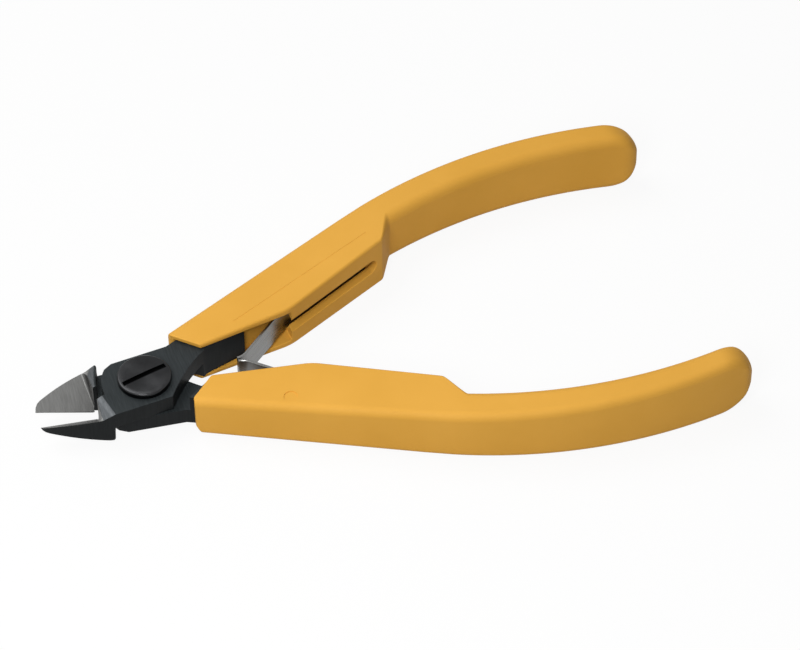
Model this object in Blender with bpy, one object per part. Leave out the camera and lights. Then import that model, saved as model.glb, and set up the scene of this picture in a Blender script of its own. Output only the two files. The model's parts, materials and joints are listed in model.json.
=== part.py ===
"""Diagonal cutter: two lapped steel levers on a slotted pivot screw, sleeved grips, two leaf springs.

Each half is drawn in its own half frame, in millimetres: the pivot axis is the origin, +X runs back
along the handles, +Y is the handle's side and z = 0 is the plane where the two levers lap. In the
half frame the tool is closed. At rest the springs hold each half open by half the opening angle.
"""

import math

import bmesh
import bpy
from mathutils import Matrix, Vector

MM = 0.001

# Opening at rest, and the clearances that neighbours share
OPENING_ANGLE = 10.7
EDGE_GAP = 0.02
LAP_GAP = 0.06
BORE_GAP = 0.05
TANG_FIT = 0.2
SPRING_FIT = 0.15

# Steel head and jaws
STEEL_THICKNESS = 6.0
HEAD_WIDTH = 10.4
LAP_RADIUS = 6.85
LAP_CORNER = 0.7
HEEL_CLEARANCE = 0.75
JAW_REACH = 17.7
JAW_NOSE_LENGTH = 1.0
JAW_NOSE_WIDTH = 1.5
JAW_NOSE_BULGE = 0.25
JAW_BULGE = 0.42
JAW_BACK = 6.5
THROAT_REACH = 8.35
THROAT_WIDTH = 1.0
EDGE_TIP_HEIGHT = -0.5
EDGE_SLOPE = 0.235
EDGE_LAND = 0.05
FLUSH_SLOPE = 0.25
BEVEL_SLOPE = 0.83
HEEL_WALL_LEAN = 0.13
HEEL_WALL_SETBACK = 0.1
HEEL_ARC_RADIUS = 18.8
HEEL_ARC = 21.0
FACET_START = 7.4
FACET_SLOPE = 0.43
FACET_ROLL = 0.06
FACET_OVERLAP = 0.2

# Necks and tangs, which run into the grips
LAP_TAIL = 2.8
NECK_END = (11.3, 2.3)
NECK_BULGE = 0.55
SHOULDER_OUTER = (6.1, 5.5)
SHOULDER_INNER = (10.0, 2.3)
TANG_STEP = 18.4
TANG_STEP_Y = 3.75
TANG_WIDTH = 3.6
TANG_END = 38.0

# Pivot screw
SCREW_HEAD_DIAMETER = 8.6
SCREW_HEAD_HEIGHT = 1.1
SCREW_HEAD_CHAMFER = 0.25
SCREW_SHANK_DIAMETER = 5.0
SCREW_END_RECESS = 0.15
SLOT_WIDTH = 0.9
SLOT_DEPTH = 0.7
SLOT_LENGTH = 7.6
SLOT_ANGLE = 14.0

# Grips
GRIP_FRONT_HALF_HEIGHT = 4.0
GRIP_REAR_HALF_HEIGHT = 6.0
GRIP_FRONT_OUTER = (6.75, 6.4)
GRIP_FRONT_INNER = (10.45, 2.3)
GRIP_FRONT_CORNER = 1.0
GRIP_FRONT_SPARE = 1.0
GRIP_WALL = 1.5
OUTER_SLOPE = 0.341
OUTER_STRAIGHT_END = 42.0
OUTER_RADIUS = 81.0
INNER_SLOPE = 0.08
HUMP_X = 26.3
RAMP_SLOPE = 0.404
STEP_START = 45.8
STEP_LENGTH = 2.8
REAR_WIDTH_AT_STEP = 6.1
REAR_WIDTH_AT_END = 4.8
GRIP_END = 94.6
END_OUTER_RADIUS = 1.5
END_INNER_RADIUS = 3.1
END_SIDE_RADIUS = 5.5
END_TURN = 84.0
OUTER_ROUNDING = 1.4
INNER_FRONT_ROUNDING = 0.5
INNER_REAR_ROUNDING = 1.8
ROUNDING_LIMIT = 0.9
POCKET_END = 26.6
POCKET_WALL = 1.0
GROOVE_END = 44.5
GROOVE_DEPTH = 2.7
GROOVE_MOUTH_HEIGHT = 2.6

# Leaf springs
LEAF_THICKNESS = 0.45
LEAF_WIDTH = 4.9
LEAF_ARM_ANGLE = 41.0
LEAF_TIP_RADIUS = 2.5
LEAF_TIP_GAP = 0.1
LEAF_BEND_SETBACK = 0.2
LEAF_TAIL_END = 43.0
LEAF_HINGE_GAP = 0.12

# Resolution of round shapes
ARC_STEPS = 10
CORNER_STEPS = 3
STRAIGHT_STEPS = 4
ROUND_STEPS = 48
SMOOTH_ANGLE = 30.0

HALF_OPENING = math.radians(OPENING_ANGLE / 2)
STEEL_HALF = STEEL_THICKNESS / 2
HEAD_HALF = HEAD_WIDTH / 2
HEEL_RADIUS = LAP_RADIUS + HEEL_CLEARANCE
HEEL_WALL_X = HEEL_WALL_SETBACK - THROAT_REACH
LEAF_BEND_X = POCKET_END - LEAF_BEND_SETBACK
FAR = 200.0


def clear_scene():
    """Remove every object, so that the script starts from an empty scene."""
    for item in list(bpy.data.objects):
        bpy.data.objects.remove(item, do_unlink=True)


def material(name, color, roughness, metallic):
    """A plain Principled material."""
    mat = bpy.data.materials.new(name)
    mat.use_nodes = True
    shader = mat.node_tree.nodes["Principled BSDF"]
    shader.inputs["Base Color"].default_value = (*color, 1.0)
    shader.inputs["Roughness"].default_value = roughness
    shader.inputs["Metallic"].default_value = metallic
    return mat


def object_from(name, bm):
    """Turn a bmesh in millimetres into an object in metres, with its faces pointing out."""
    bmesh.ops.recalc_face_normals(bm, faces=bm.faces)
    bmesh.ops.scale(bm, vec=(MM, MM, MM), verts=bm.verts)
    mesh = bpy.data.meshes.new(name)
    bm.to_mesh(mesh)
    bm.free()
    item = bpy.data.objects.new(name, mesh)
    bpy.context.collection.objects.link(item)
    return item


def prism_mesh(outline, low, high):
    """A plan outline raised from z = low to z = high."""
    bm = bmesh.new()
    floor = [bm.verts.new((x, y, low)) for x, y in outline]
    base = bm.faces.new(floor)
    raised = bmesh.ops.extrude_face_region(bm, geom=[base])
    top = [item for item in raised["geom"] if isinstance(item, bmesh.types.BMVert)]
    bmesh.ops.translate(bm, vec=(0, 0, high - low), verts=top)
    return bm


def clip(bm, point, normal):
    """Cut away what lies on the normal's side of a plane, and close the cut."""
    geom = list(bm.verts) + list(bm.edges) + list(bm.faces)
    cut = bmesh.ops.bisect_plane(
        bm, geom=geom, plane_co=point, plane_no=normal, clear_outer=True, dist=1e-6
    )
    edges = [item for item in cut["geom_cut"] if isinstance(item, bmesh.types.BMEdge)]
    bmesh.ops.contextual_create(bm, geom=edges)


def turned_mesh(profile):
    """Turn a profile of (radius, z) points, from the top's centre to the bottom's centre."""
    bm = bmesh.new()
    rings = []
    for radius, z in profile[1:-1]:
        ring = []
        for step in range(ROUND_STEPS):
            angle = 2 * math.pi * step / ROUND_STEPS
            ring.append(bm.verts.new((radius * math.cos(angle), radius * math.sin(angle), z)))
        rings.append(ring)
    for upper, lower in zip(rings, rings[1:]):
        for step in range(ROUND_STEPS):
            after = (step + 1) % ROUND_STEPS
            bm.faces.new((upper[step], lower[step], lower[after], upper[after]))
    bm.faces.new(rings[0])
    bm.faces.new(list(reversed(rings[-1])))
    return bm


def carve(target, cutters):
    """Subtract the cutters from the target, keep the result as its mesh, and drop the cutters."""
    for cutter in cutters:
        cutter.hide_render = True
        cutter.display_type = "WIRE"
        boolean = target.modifiers.new(cutter.name, "BOOLEAN")
        boolean.operation = "DIFFERENCE"
        boolean.solver = "EXACT"
        boolean.object = cutter
    bpy.context.view_layer.update()
    graph = bpy.context.evaluated_depsgraph_get()
    mesh = bpy.data.meshes.new_from_object(target.evaluated_get(graph))
    target.modifiers.clear()
    target.data = mesh
    mesh.name = target.name
    for cutter in cutters:
        bpy.data.objects.remove(cutter, do_unlink=True)


def arc(start, end, bulge, steps):
    """Points of a shallow arc from start to end, bulging to the left of the way it runs."""
    chord = Vector(end) - Vector(start)
    left = Vector((-chord.y, chord.x)).normalized()
    points = []
    for step in range(steps + 1):
        share = step / steps
        points.append(tuple(Vector(start) + chord * share + left * bulge * 4 * share * (1 - share)))
    return points


def ring_arc(radius, start, end, steps):
    """Points of an arc about the origin, from one angle in degrees to another."""
    points = []
    for step in range(steps + 1):
        angle = math.radians(start + (end - start) * step / steps)
        points.append((radius * math.cos(angle), radius * math.sin(angle)))
    return points


def mirrored(points, side):
    """Plan points on the +Y side, or reflected to the -Y side."""
    return [(x, y * side) for x, y in points]


def outer_y(x):
    """The grip's outer edge: straight, then a long arc that runs over to the end."""
    start_x, start_y = GRIP_FRONT_OUTER
    straight = start_y + GRIP_FRONT_CORNER + OUTER_SLOPE * (min(x, OUTER_STRAIGHT_END) - start_x)
    if x <= OUTER_STRAIGHT_END:
        return straight
    lean = math.atan(OUTER_SLOPE)
    turned = math.asin(math.sin(lean) - (x - OUTER_STRAIGHT_END) / OUTER_RADIUS)
    return straight + OUTER_RADIUS * (math.cos(turned) - math.cos(lean))


def ramp_y(x):
    """The grip's inner edge between the hump and the step."""
    start_x, start_y = GRIP_FRONT_INNER
    return start_y + INNER_SLOPE * (HUMP_X - start_x) + RAMP_SLOPE * (x - HUMP_X)


def rear_width(x):
    """The grip's width behind the step."""
    share = (x - STEP_START - STEP_LENGTH) / (GRIP_END - STEP_START - STEP_LENGTH)
    return REAR_WIDTH_AT_STEP + (REAR_WIDTH_AT_END - REAR_WIDTH_AT_STEP) * share


def inner_y(x):
    """The grip's inner edge: the front run, the ramp, the step and the slim rear."""
    start_x, start_y = GRIP_FRONT_INNER
    step_end = STEP_START + STEP_LENGTH
    if x <= HUMP_X:
        return start_y + INNER_SLOPE * (x - start_x)
    if x <= STEP_START:
        return ramp_y(x)
    if x >= step_end:
        return outer_y(x) - rear_width(x)
    share = (x - STEP_START) / STEP_LENGTH
    foot = outer_y(step_end) - rear_width(step_end)
    return ramp_y(STEP_START) * (1 - share) + foot * share


def half_height(x):
    """Half the grip's height, which grows evenly to the rear so that its underside is flat."""
    front = GRIP_FRONT_OUTER[0]
    share = (x - front) / (GRIP_END - front)
    return GRIP_FRONT_HALF_HEIGHT + (GRIP_REAR_HALF_HEIGHT - GRIP_FRONT_HALF_HEIGHT) * share


def tang_outer_y(x):
    """The tang's outer side, a wall's thickness and the fit inside the grip's straight outer side."""
    reach = (GRIP_WALL + TANG_FIT) * math.hypot(1, OUTER_SLOPE)
    start_x, start_y = GRIP_FRONT_OUTER
    return start_y + GRIP_FRONT_CORNER + OUTER_SLOPE * (x - start_x) - reach


def tang_inner_y(x):
    """The slim tang's inner side."""
    return tang_outer_y(x) - TANG_WIDTH * math.hypot(1, OUTER_SLOPE)


def groove_back_y(x):
    """The back wall of the groove that holds the leaf's tail."""
    return ramp_y(x) + GROOVE_DEPTH * math.hypot(1, RAMP_SLOPE)


def leaf_tail_y(x):
    """The middle of the leaf's tail, which lies on the groove's back wall."""
    return groove_back_y(x) - (SPRING_FIT + LEAF_THICKNESS / 2) * math.hypot(1, RAMP_SLOPE)


def lever_outline():
    """The lever's plan, with its handle on +Y and its jaw on -Y."""
    nose = (-JAW_REACH + JAW_NOSE_LENGTH, -JAW_NOSE_WIDTH)
    neck_start_x = GRIP_FRONT_OUTER[0] + (HEAD_HALF - tang_outer_y(GRIP_FRONT_OUTER[0])) / OUTER_SLOPE
    corner_angle = math.degrees(math.asin((HEAD_HALF - LAP_CORNER) / LAP_RADIUS))
    corner_x = -math.sqrt(LAP_RADIUS**2 - HEAD_HALF**2)
    lap_end = math.degrees(math.asin(THROAT_WIDTH / 2 / LAP_RADIUS))
    points = arc((-JAW_REACH, -EDGE_GAP), nose, -JAW_NOSE_BULGE, CORNER_STEPS)
    points += arc(nose, (-JAW_BACK, -HEAD_HALF), -JAW_BULGE, ARC_STEPS)[1:]
    points += arc((LAP_TAIL, -HEAD_HALF), NECK_END, NECK_BULGE, ARC_STEPS)
    points += [(TANG_STEP, TANG_STEP_Y), (TANG_STEP, tang_inner_y(TANG_STEP))]
    points += [(TANG_END, tang_inner_y(TANG_END)), (TANG_END, tang_outer_y(TANG_END))]
    points += [(neck_start_x, HEAD_HALF), (corner_x + LAP_CORNER, HEAD_HALF)]
    points += ring_arc(LAP_RADIUS, 180 - corner_angle, 180 + lap_end, ARC_STEPS)
    points += [(-THROAT_REACH, -THROAT_WIDTH / 2), (-THROAT_REACH, -EDGE_GAP)]
    return points


def lap_pocket(name, side, lap_side):
    """The cutter that halves the lever's thickness between the jaw's heel and the neck's shoulder."""
    run = Vector(SHOULDER_INNER) - Vector(SHOULDER_OUTER)
    outer = Vector(SHOULDER_OUTER) - run
    inner = Vector(SHOULDER_INNER) + run
    reach = 2 * HEEL_RADIUS
    points = [tuple(outer), tuple(inner), (inner.x, -reach), (0.0, -reach)]
    centre_x = HEEL_ARC_RADIUS - HEEL_RADIUS
    heel = ring_arc(HEEL_ARC_RADIUS, 180 + HEEL_ARC, 180 - HEEL_ARC, 2 * ARC_STEPS)
    points += [(centre_x + x, y) for x, y in heel]
    points += [(0.0, reach), (outer.x, reach)]
    near = -lap_side * LAP_GAP / 2
    far = lap_side * STEEL_THICKNESS
    return object_from(name, prism_mesh(mirrored(points, side), min(near, far), max(near, far)))


def jaw_cutter(name, side, face_point, face_normal, wall_x, wall_sense):
    """A cutter bounded by a ground face and, in front or behind, by the steep wall at the jaw's heel."""
    bm = bmesh.new()
    bmesh.ops.create_cube(bm, size=2 * FAR)
    clip(bm, face_point, face_normal)
    wall_point = (wall_x, -THROAT_WIDTH / 2 * side, 0)
    clip(bm, wall_point, (wall_sense, -HEEL_WALL_LEAN * side * wall_sense, 0))
    return object_from(name, bm)


def bevel_cutter(name, side):
    """The cutter that leaves the jaw's ground bevel, in front of the heel wall."""
    edge = (-JAW_REACH, 0, EDGE_TIP_HEIGHT)
    return jaw_cutter(name, side, edge, (-EDGE_SLOPE, -BEVEL_SLOPE * side, -1.0), HEEL_WALL_X, 1)


def facet_cutter(name, side):
    """The cutter that leaves the ground facet, behind the heel wall."""
    start = (-FACET_START, -THROAT_WIDTH / 2 * side, STEEL_HALF)
    wall_x = HEEL_WALL_X - FACET_OVERLAP
    return jaw_cutter(name, side, start, (FACET_SLOPE, FACET_ROLL * side, -1.0), wall_x, -1)


def lever(name, side, lap_side):
    """One forged lever. lap_side is the side, in z, that is cut away for the other lever's lap."""
    bm = prism_mesh(mirrored(lever_outline(), side), -STEEL_HALF, STEEL_HALF)
    flush = (-JAW_REACH, 0, EDGE_TIP_HEIGHT - EDGE_LAND)
    clip(bm, flush, (-FLUSH_SLOPE, 0, -1.0))
    item = object_from(name, bm)
    bore_radius = SCREW_SHANK_DIAMETER / 2 + BORE_GAP
    bore = [(0, FAR), (bore_radius, FAR), (bore_radius, -FAR), (0, -FAR)]
    carve(item, [
        lap_pocket(name + "_lap", side, lap_side),
        bevel_cutter(name + "_bevel", side),
        facet_cutter(name + "_facet", side),
        object_from(name + "_bore", turned_mesh(bore)),
    ])
    return item


def pivot_screw(name):
    """The slotted screw: its head sits on the top lever and its shank holds in the bottom lever."""
    head_radius = SCREW_HEAD_DIAMETER / 2
    shank_radius = SCREW_SHANK_DIAMETER / 2
    under_head = STEEL_HALF + LAP_GAP
    top = under_head + SCREW_HEAD_HEIGHT
    profile = [
        (0, top),
        (head_radius - SCREW_HEAD_CHAMFER, top),
        (head_radius, top - SCREW_HEAD_CHAMFER),
        (head_radius, under_head),
        (shank_radius, under_head),
        (shank_radius, -STEEL_HALF + SCREW_END_RECESS),
        (0, -STEEL_HALF + SCREW_END_RECESS),
    ]
    item = object_from(name, turned_mesh(profile))
    carve(item, [slot_cutter(name + "_slot", top)])
    return item


def slot_cutter(name, top):
    """The cutter for the straight slot in the screw's head, closed at both ends by the rim."""
    end = SLOT_LENGTH / 2
    edge = SLOT_WIDTH / 2
    outline = [(-end, -edge), (end, -edge), (end, edge), (-end, edge)]
    bm = prism_mesh(outline, top - SLOT_DEPTH, top + SCREW_HEAD_HEIGHT)
    turn = math.radians(SLOT_ANGLE) + HALF_OPENING
    bmesh.ops.rotate(bm, cent=(0, 0, 0), matrix=Matrix.Rotation(turn, 3, "Z"), verts=bm.verts)
    return object_from(name, bm)


def drop(distance, radius):
    """How far a rounded end falls back from its full size at a distance from its tip."""
    if distance >= radius:
        return 0.0
    return radius - math.sqrt(radius**2 - (radius - distance) ** 2)


def spread(start, end, steps):
    """Evenly spaced values from the start up to, but without, the end."""
    return [start + (end - start) * step / steps for step in range(steps)]


def grip_stations():
    """Where the grip's sections lie along X, close together at the step and at the round end."""
    front = GRIP_FRONT_OUTER[0] - GRIP_FRONT_SPARE
    step_end = STEP_START + STEP_LENGTH
    end_start = GRIP_END - END_SIDE_RADIUS
    stations = spread(front, HUMP_X, STRAIGHT_STEPS)
    stations += spread(HUMP_X, STEP_START, STRAIGHT_STEPS)
    stations.append(STEP_START)
    stations += spread(step_end, end_start, ARC_STEPS)
    end_steps = 2 * CORNER_STEPS
    for step in range(end_steps + 1):
        angle = math.radians(END_TURN) * step / end_steps
        stations.append(end_start + END_SIDE_RADIUS * math.sin(angle))
    return stations


def grip_section(x):
    """One closed section of the grip at x, as (x, y, z) points, with each corner rounded."""
    from_end = GRIP_END - x
    outer = outer_y(x) - drop(from_end, END_OUTER_RADIUS)
    inner = inner_y(x) + drop(from_end, END_INNER_RADIUS)
    middle = (inner + outer) / 2
    half_width = (outer - inner) / 2
    height = half_height(x) - drop(from_end, END_SIDE_RADIUS)
    inner_rounding = INNER_FRONT_ROUNDING if x <= STEP_START else INNER_REAR_ROUNDING
    points = []
    corners = [(1, 1, OUTER_ROUNDING), (-1, 1, inner_rounding)]
    corners += [(-1, -1, inner_rounding), (1, -1, OUTER_ROUNDING)]
    for quarter, (across, up, rounding) in enumerate(corners):
        radius = min(rounding, half_width * ROUNDING_LIMIT, height * ROUNDING_LIMIT)
        for step in range(CORNER_STEPS + 1):
            angle = math.pi / 2 * (quarter + step / CORNER_STEPS)
            y = middle + across * (half_width - radius) + radius * math.cos(angle)
            z = up * (height - radius) + radius * math.sin(angle)
            points.append((x, y, z))
    return points


def grip_shell(name, side):
    """The grip's outer form, lofted through its sections, with the slanted front cut."""
    bm = bmesh.new()
    rings = []
    for x in grip_stations():
        rings.append([bm.verts.new((px, py * side, pz)) for px, py, pz in grip_section(x)])
    count = len(rings[0])
    for ring, following in zip(rings, rings[1:]):
        for step in range(count):
            after = (step + 1) % count
            bm.faces.new((ring[step], ring[after], following[after], following[step]))
    bm.faces.new(rings[0])
    bm.faces.new(rings[-1])
    bmesh.ops.recalc_face_normals(bm, faces=bm.faces)
    front = Vector(GRIP_FRONT_INNER) - Vector(GRIP_FRONT_OUTER)
    clip(bm, (*mirrored([GRIP_FRONT_OUTER], side)[0], 0), (front.y, -front.x * side, 0))
    clip(bm, (GRIP_FRONT_OUTER[0], GRIP_FRONT_OUTER[1] * side, 0), (-1.0, 0, 0))
    return object_from(name, bm)


def channel_outline():
    """The grip's cavity: an open channel for the neck, the spring's pocket and the tang's tunnel."""
    front = -FAR
    open_side = -FAR
    step = TANG_STEP + TANG_FIT
    end = TANG_END + TANG_FIT
    pocket_wall = POCKET_WALL + TANG_FIT
    return [
        (front, open_side),
        (POCKET_END, open_side),
        (POCKET_END, tang_inner_y(POCKET_END) - pocket_wall),
        (step, tang_inner_y(step) - pocket_wall),
        (step, tang_inner_y(step) - TANG_FIT),
        (end, tang_inner_y(end) - TANG_FIT),
        (end, tang_outer_y(end) + TANG_FIT),
        (front, tang_outer_y(front) + TANG_FIT),
    ]


def groove_outline():
    """The slot behind the grip's inner face that holds the leaf's tail."""
    start = POCKET_END - TANG_FIT
    width = (LEAF_THICKNESS + 2 * SPRING_FIT) * math.hypot(1, RAMP_SLOPE)
    return [
        (start, groove_back_y(start) - width),
        (GROOVE_END, groove_back_y(GROOVE_END) - width),
        (GROOVE_END, groove_back_y(GROOVE_END)),
        (start, groove_back_y(start)),
    ]


def groove_mouth(name, side):
    """The cutter for the slot's narrower opening in the grip's inner face, round at its rear end."""
    radius = GROOVE_MOUTH_HEIGHT / 2
    start = POCKET_END - TANG_FIT
    points = [(start, radius), (start, -radius)]
    for step in range(ARC_STEPS + 1):
        angle = math.pi * (step / ARC_STEPS - 0.5)
        points.append((GROOVE_END - radius + radius * math.cos(angle), radius * math.sin(angle)))
    bm = prism_mesh(points, -FAR, FAR)
    bmesh.ops.rotate(bm, cent=(0, 0, 0), matrix=Matrix.Rotation(math.pi / 2, 3, "X"), verts=bm.verts)
    clip(bm, (0, leaf_tail_y(0) * side, 0), (-RAMP_SLOPE, side, 0))
    return object_from(name, bm)


def grip(name, side):
    """One moulded grip with its channel, pocket, tunnel and groove."""
    item = grip_shell(name, side)
    channel_half = STEEL_HALF + TANG_FIT
    groove_half = LEAF_WIDTH / 2 + SPRING_FIT
    channel = prism_mesh(mirrored(channel_outline(), side), -channel_half, channel_half)
    groove = prism_mesh(mirrored(groove_outline(), side), -groove_half, groove_half)
    carve(item, [
        object_from(name + "_channel", channel),
        object_from(name + "_groove", groove),
        groove_mouth(name + "_mouth", side),
    ])
    return item


def strip_mesh(path, side, origin):
    """A leaf of constant thickness along a plan path, standing on edge, about its own origin."""
    left = []
    right = []
    for index, point in enumerate(path):
        before = Vector(path[max(index - 1, 0)])
        after = Vector(path[min(index + 1, len(path) - 1)])
        run = (after - before).normalized()
        across = Vector((-run.y, run.x)) * LEAF_THICKNESS / 2
        left.append(Vector(point) - origin + across)
        right.append(Vector(point) - origin - across)
    outline = [tuple(point) for point in left + right[::-1]]
    return prism_mesh(mirrored(outline, side), -LEAF_WIDTH / 2, LEAF_WIDTH / 2)


def leaf_bend():
    """Where the leaf leaves its groove and starts to flex."""
    return Vector((LEAF_BEND_X, leaf_tail_y(LEAF_BEND_X)))


def leaf_arm_path():
    """The leaf's free arm, straight and then turned parallel to the centre line at its tip."""
    bend = leaf_bend()
    lean = math.radians(LEAF_ARM_ANGLE)
    tip_y = LEAF_TIP_GAP + LEAF_THICKNESS / 2
    bend_y = bend.y * math.cos(HALF_OPENING) + bend.x * math.sin(HALF_OPENING)
    straight = (bend_y - tip_y - LEAF_TIP_RADIUS * (1 - math.cos(lean))) / math.sin(lean)
    heading = math.pi + lean - HALF_OPENING
    along = Vector((math.cos(heading), math.sin(heading)))
    away = Vector((along.y, -along.x))
    path = [bend + along * LEAF_HINGE_GAP, bend + along * straight]
    for step in range(1, ARC_STEPS + 1):
        turn = lean * step / ARC_STEPS
        rise = away * LEAF_TIP_RADIUS * (1 - math.cos(turn))
        path.append(path[1] + along * LEAF_TIP_RADIUS * math.sin(turn) + rise)
    return path


def leaf_tail(name, side):
    """The part of the leaf that lies in the grip's groove."""
    start_x = LEAF_BEND_X + LEAF_HINGE_GAP
    path = [(LEAF_TAIL_END, leaf_tail_y(LEAF_TAIL_END)), (start_x, leaf_tail_y(start_x))]
    return object_from(name, strip_mesh(path, side, Vector((0, 0))))


def leaf_arm(name, side):
    """The leaf's free arm, with its origin where it flexes."""
    bend = leaf_bend()
    item = object_from(name, strip_mesh(leaf_arm_path(), side, bend))
    item.location = (bend.x * MM, bend.y * side * MM, 0)
    return item


def finish(item, parent, mat):
    """Hang a piece on its half of the tool, give it its material and shade its round faces."""
    item.parent = parent
    item.data.materials.clear()
    item.data.materials.append(mat)
    item.data.shade_smooth()
    item.data.set_sharp_from_angle(angle=math.radians(SMOOTH_ANGLE))


def empty(name, parent):
    """A reference frame for the pieces that move together."""
    item = bpy.data.objects.new(name, None)
    bpy.context.collection.objects.link(item)
    item.parent = parent
    return item


def seat(frame, pieces):
    """Lay the tool on the flat undersides of its grips, centred over the origin."""
    rise = (GRIP_REAR_HALF_HEIGHT - GRIP_FRONT_HALF_HEIGHT) / (GRIP_END - GRIP_FRONT_OUTER[0])
    frame.rotation_euler.y = -math.atan(rise * math.cos(HALF_OPENING))
    bpy.context.view_layer.update()
    corners = []
    for piece in pieces:
        corners += [piece.matrix_world @ vertex.co for vertex in piece.data.vertices]
    low = [min(corner[axis] for corner in corners) for axis in range(3)]
    high = [max(corner[axis] for corner in corners) for axis in range(3)]
    frame.location = (-(low[0] + high[0]) / 2, -(low[1] + high[1]) / 2, -low[2])
    bpy.context.view_layer.update()


def main():
    clear_scene()
    steel = material("blackened_steel", (0.05, 0.06, 0.065), 0.45, 0.9)
    screw_steel = material("turned_steel", (0.09, 0.1, 0.11), 0.35, 1.0)
    plastic = material("yellow_grip", (0.8, 0.42, 0.07), 0.5, 0.0)
    bright = material("spring_steel", (0.6, 0.6, 0.6), 0.3, 1.0)
    tool = empty("tool_frame", None)
    pieces = []
    # The top lever carries the upper grip, and is cut away below its lap
    halves = (("upper", "top_lever", 1, -1), ("lower", "bottom_lever", -1, 1))
    for half_name, lever_name, side, lap_side in halves:
        half = empty(half_name + "_half", tool)
        half.rotation_euler.z = side * HALF_OPENING
        made = [
            (lever(lever_name, side, lap_side), steel),
            (grip(half_name + "_grip", side), plastic),
            (leaf_tail(half_name + "_spring_tail", side), bright),
            (leaf_arm(half_name + "_spring_arm", side), bright),
        ]
        if half_name == "lower":
            made.append((pivot_screw("pivot_screw"), screw_steel))
        for item, mat in made:
            finish(item, half, mat)
            pieces.append(item)
    seat(tool, pieces)


main()
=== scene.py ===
"""The looks of a small diagonal cutter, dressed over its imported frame.

Pieces are drawn in a half frame in millimetres, as the solids are: the pivot is the origin, +X runs back
along the handles and +Y is the handle's side. half_matrix places a half in the world at rest. Named angles
are in degrees.
"""

import json
import math

import bmesh
import bpy
from mathutils import Matrix, Vector

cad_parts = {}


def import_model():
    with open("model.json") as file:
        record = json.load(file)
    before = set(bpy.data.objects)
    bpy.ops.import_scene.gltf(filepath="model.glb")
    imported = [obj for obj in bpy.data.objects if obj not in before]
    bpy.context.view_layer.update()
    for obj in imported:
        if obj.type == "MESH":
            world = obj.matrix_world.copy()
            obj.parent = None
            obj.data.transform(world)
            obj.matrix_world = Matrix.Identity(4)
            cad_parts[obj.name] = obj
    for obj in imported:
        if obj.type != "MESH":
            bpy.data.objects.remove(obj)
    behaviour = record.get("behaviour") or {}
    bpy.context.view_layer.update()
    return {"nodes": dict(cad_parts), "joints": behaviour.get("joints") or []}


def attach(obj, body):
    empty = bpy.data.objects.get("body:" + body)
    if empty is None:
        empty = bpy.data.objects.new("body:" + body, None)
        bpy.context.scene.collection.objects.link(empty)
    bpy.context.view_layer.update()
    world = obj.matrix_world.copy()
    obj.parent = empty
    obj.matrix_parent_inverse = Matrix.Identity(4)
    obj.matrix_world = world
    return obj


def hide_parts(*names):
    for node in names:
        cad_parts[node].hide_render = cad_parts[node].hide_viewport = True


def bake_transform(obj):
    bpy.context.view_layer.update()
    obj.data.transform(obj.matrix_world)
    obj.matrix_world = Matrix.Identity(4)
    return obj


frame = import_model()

MM = 0.001

# A length past every edge of the tool, for cuts that run right through it
FAR = 200.0

# Camera, in metres, pixels and degrees
IMAGE_WIDTH = 800
CAMERA_AZIMUTH = -18.74
CAMERA_ELEVATION = 46.77
CAMERA_ROLL = 1.01
CAMERA_TARGET = Vector((0.00391, -0.003, 0.00928))
CAMERA_DISTANCE = 0.6
CAMERA_NEAR = 0.01
CAMERA_FAR = 20.0
FOCAL_PIXELS = 3763.0
SENSOR_WIDTH = 36.0

# Stage, in metres and watts
FLOOR_DROP = 0.0001
FLOOR_REACH = 4.0
FLOOR_COLOR = (0.5, 0.5, 0.5, 1.0)
FLOOR_ROUGHNESS = 0.9
FLOOR_GLOW = 1.06
FLOOR_GLOW_SHARE = 0.86
WORLD_COLOR = (1.0, 1.0, 1.0, 1.0)
WORLD_SEEN = 1.0
WORLD_LIGHT = 0.2
KEY_PLACE = Vector((-0.13, -0.19, 0.23))
KEY_AIM = Vector((-0.03, 0.0, 0.0))
KEY_SIZE = 0.12
KEY_POWER = 0.66
OVERHEAD_PLACE = Vector((-0.28, 0.3, 0.57))
OVERHEAD_AIM = Vector((0.0, 0.0, 0.0))
OVERHEAD_SIZE = 0.5
OVERHEAD_POWER = 3.05

# Grip
FRONT_HALF_HEIGHT = 4.0
REAR_HALF_HEIGHT = 6.0
FRONT_OUTER = (6.75, 6.4)
FRONT_INNER = (10.45, 2.3)
FRONT_CORNER = 1.0
FRONT_ROOM = 1.0
FRONT_SOLE_RISE = 2.1
FRONT_SOLE_LENGTH = 0.9
GRIP_WALL = 1.5
OUTER_SLOPE = 0.341
OUTER_STRAIGHT_END = 42.0
OUTER_RADIUS = 81.0
INNER_SLOPE = 0.08
HUMP_X = 26.3
RAMP_SLOPE = 0.404
STEP_START = 45.8
STEP_LENGTH = 2.8
WIDTH_AT_STEP = 6.1
WIDTH_AT_END = 4.8
GRIP_END = 94.6
END_OUTER_RADIUS = 1.5
END_INNER_RADIUS = 3.1
END_SIDE_RADIUS = 5.5
END_TURN = 88.0
OUTER_ROUNDING = 1.4
INNER_FRONT_ROUNDING = 0.5
INNER_REAR_ROUNDING = 1.8
ROUNDING_LIMIT = 0.95
HUMP_SOFTNESS = 1.2
STEP_SOFTNESS = 0.3
MOULD_EDGE = 0.2
MOULD_LINE_DEPTH = 0.04
MOULD_LINE_INSET = 6.2
MOULD_LINE_WIDTH = 0.16
MOULD_LINE_RANGE = (17.0, 44.0)
EJECTOR_PLACE = (21.6, 10.0)
EJECTOR_RADIUS = 1.1
EJECTOR_DEPTH = 0.12

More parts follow.
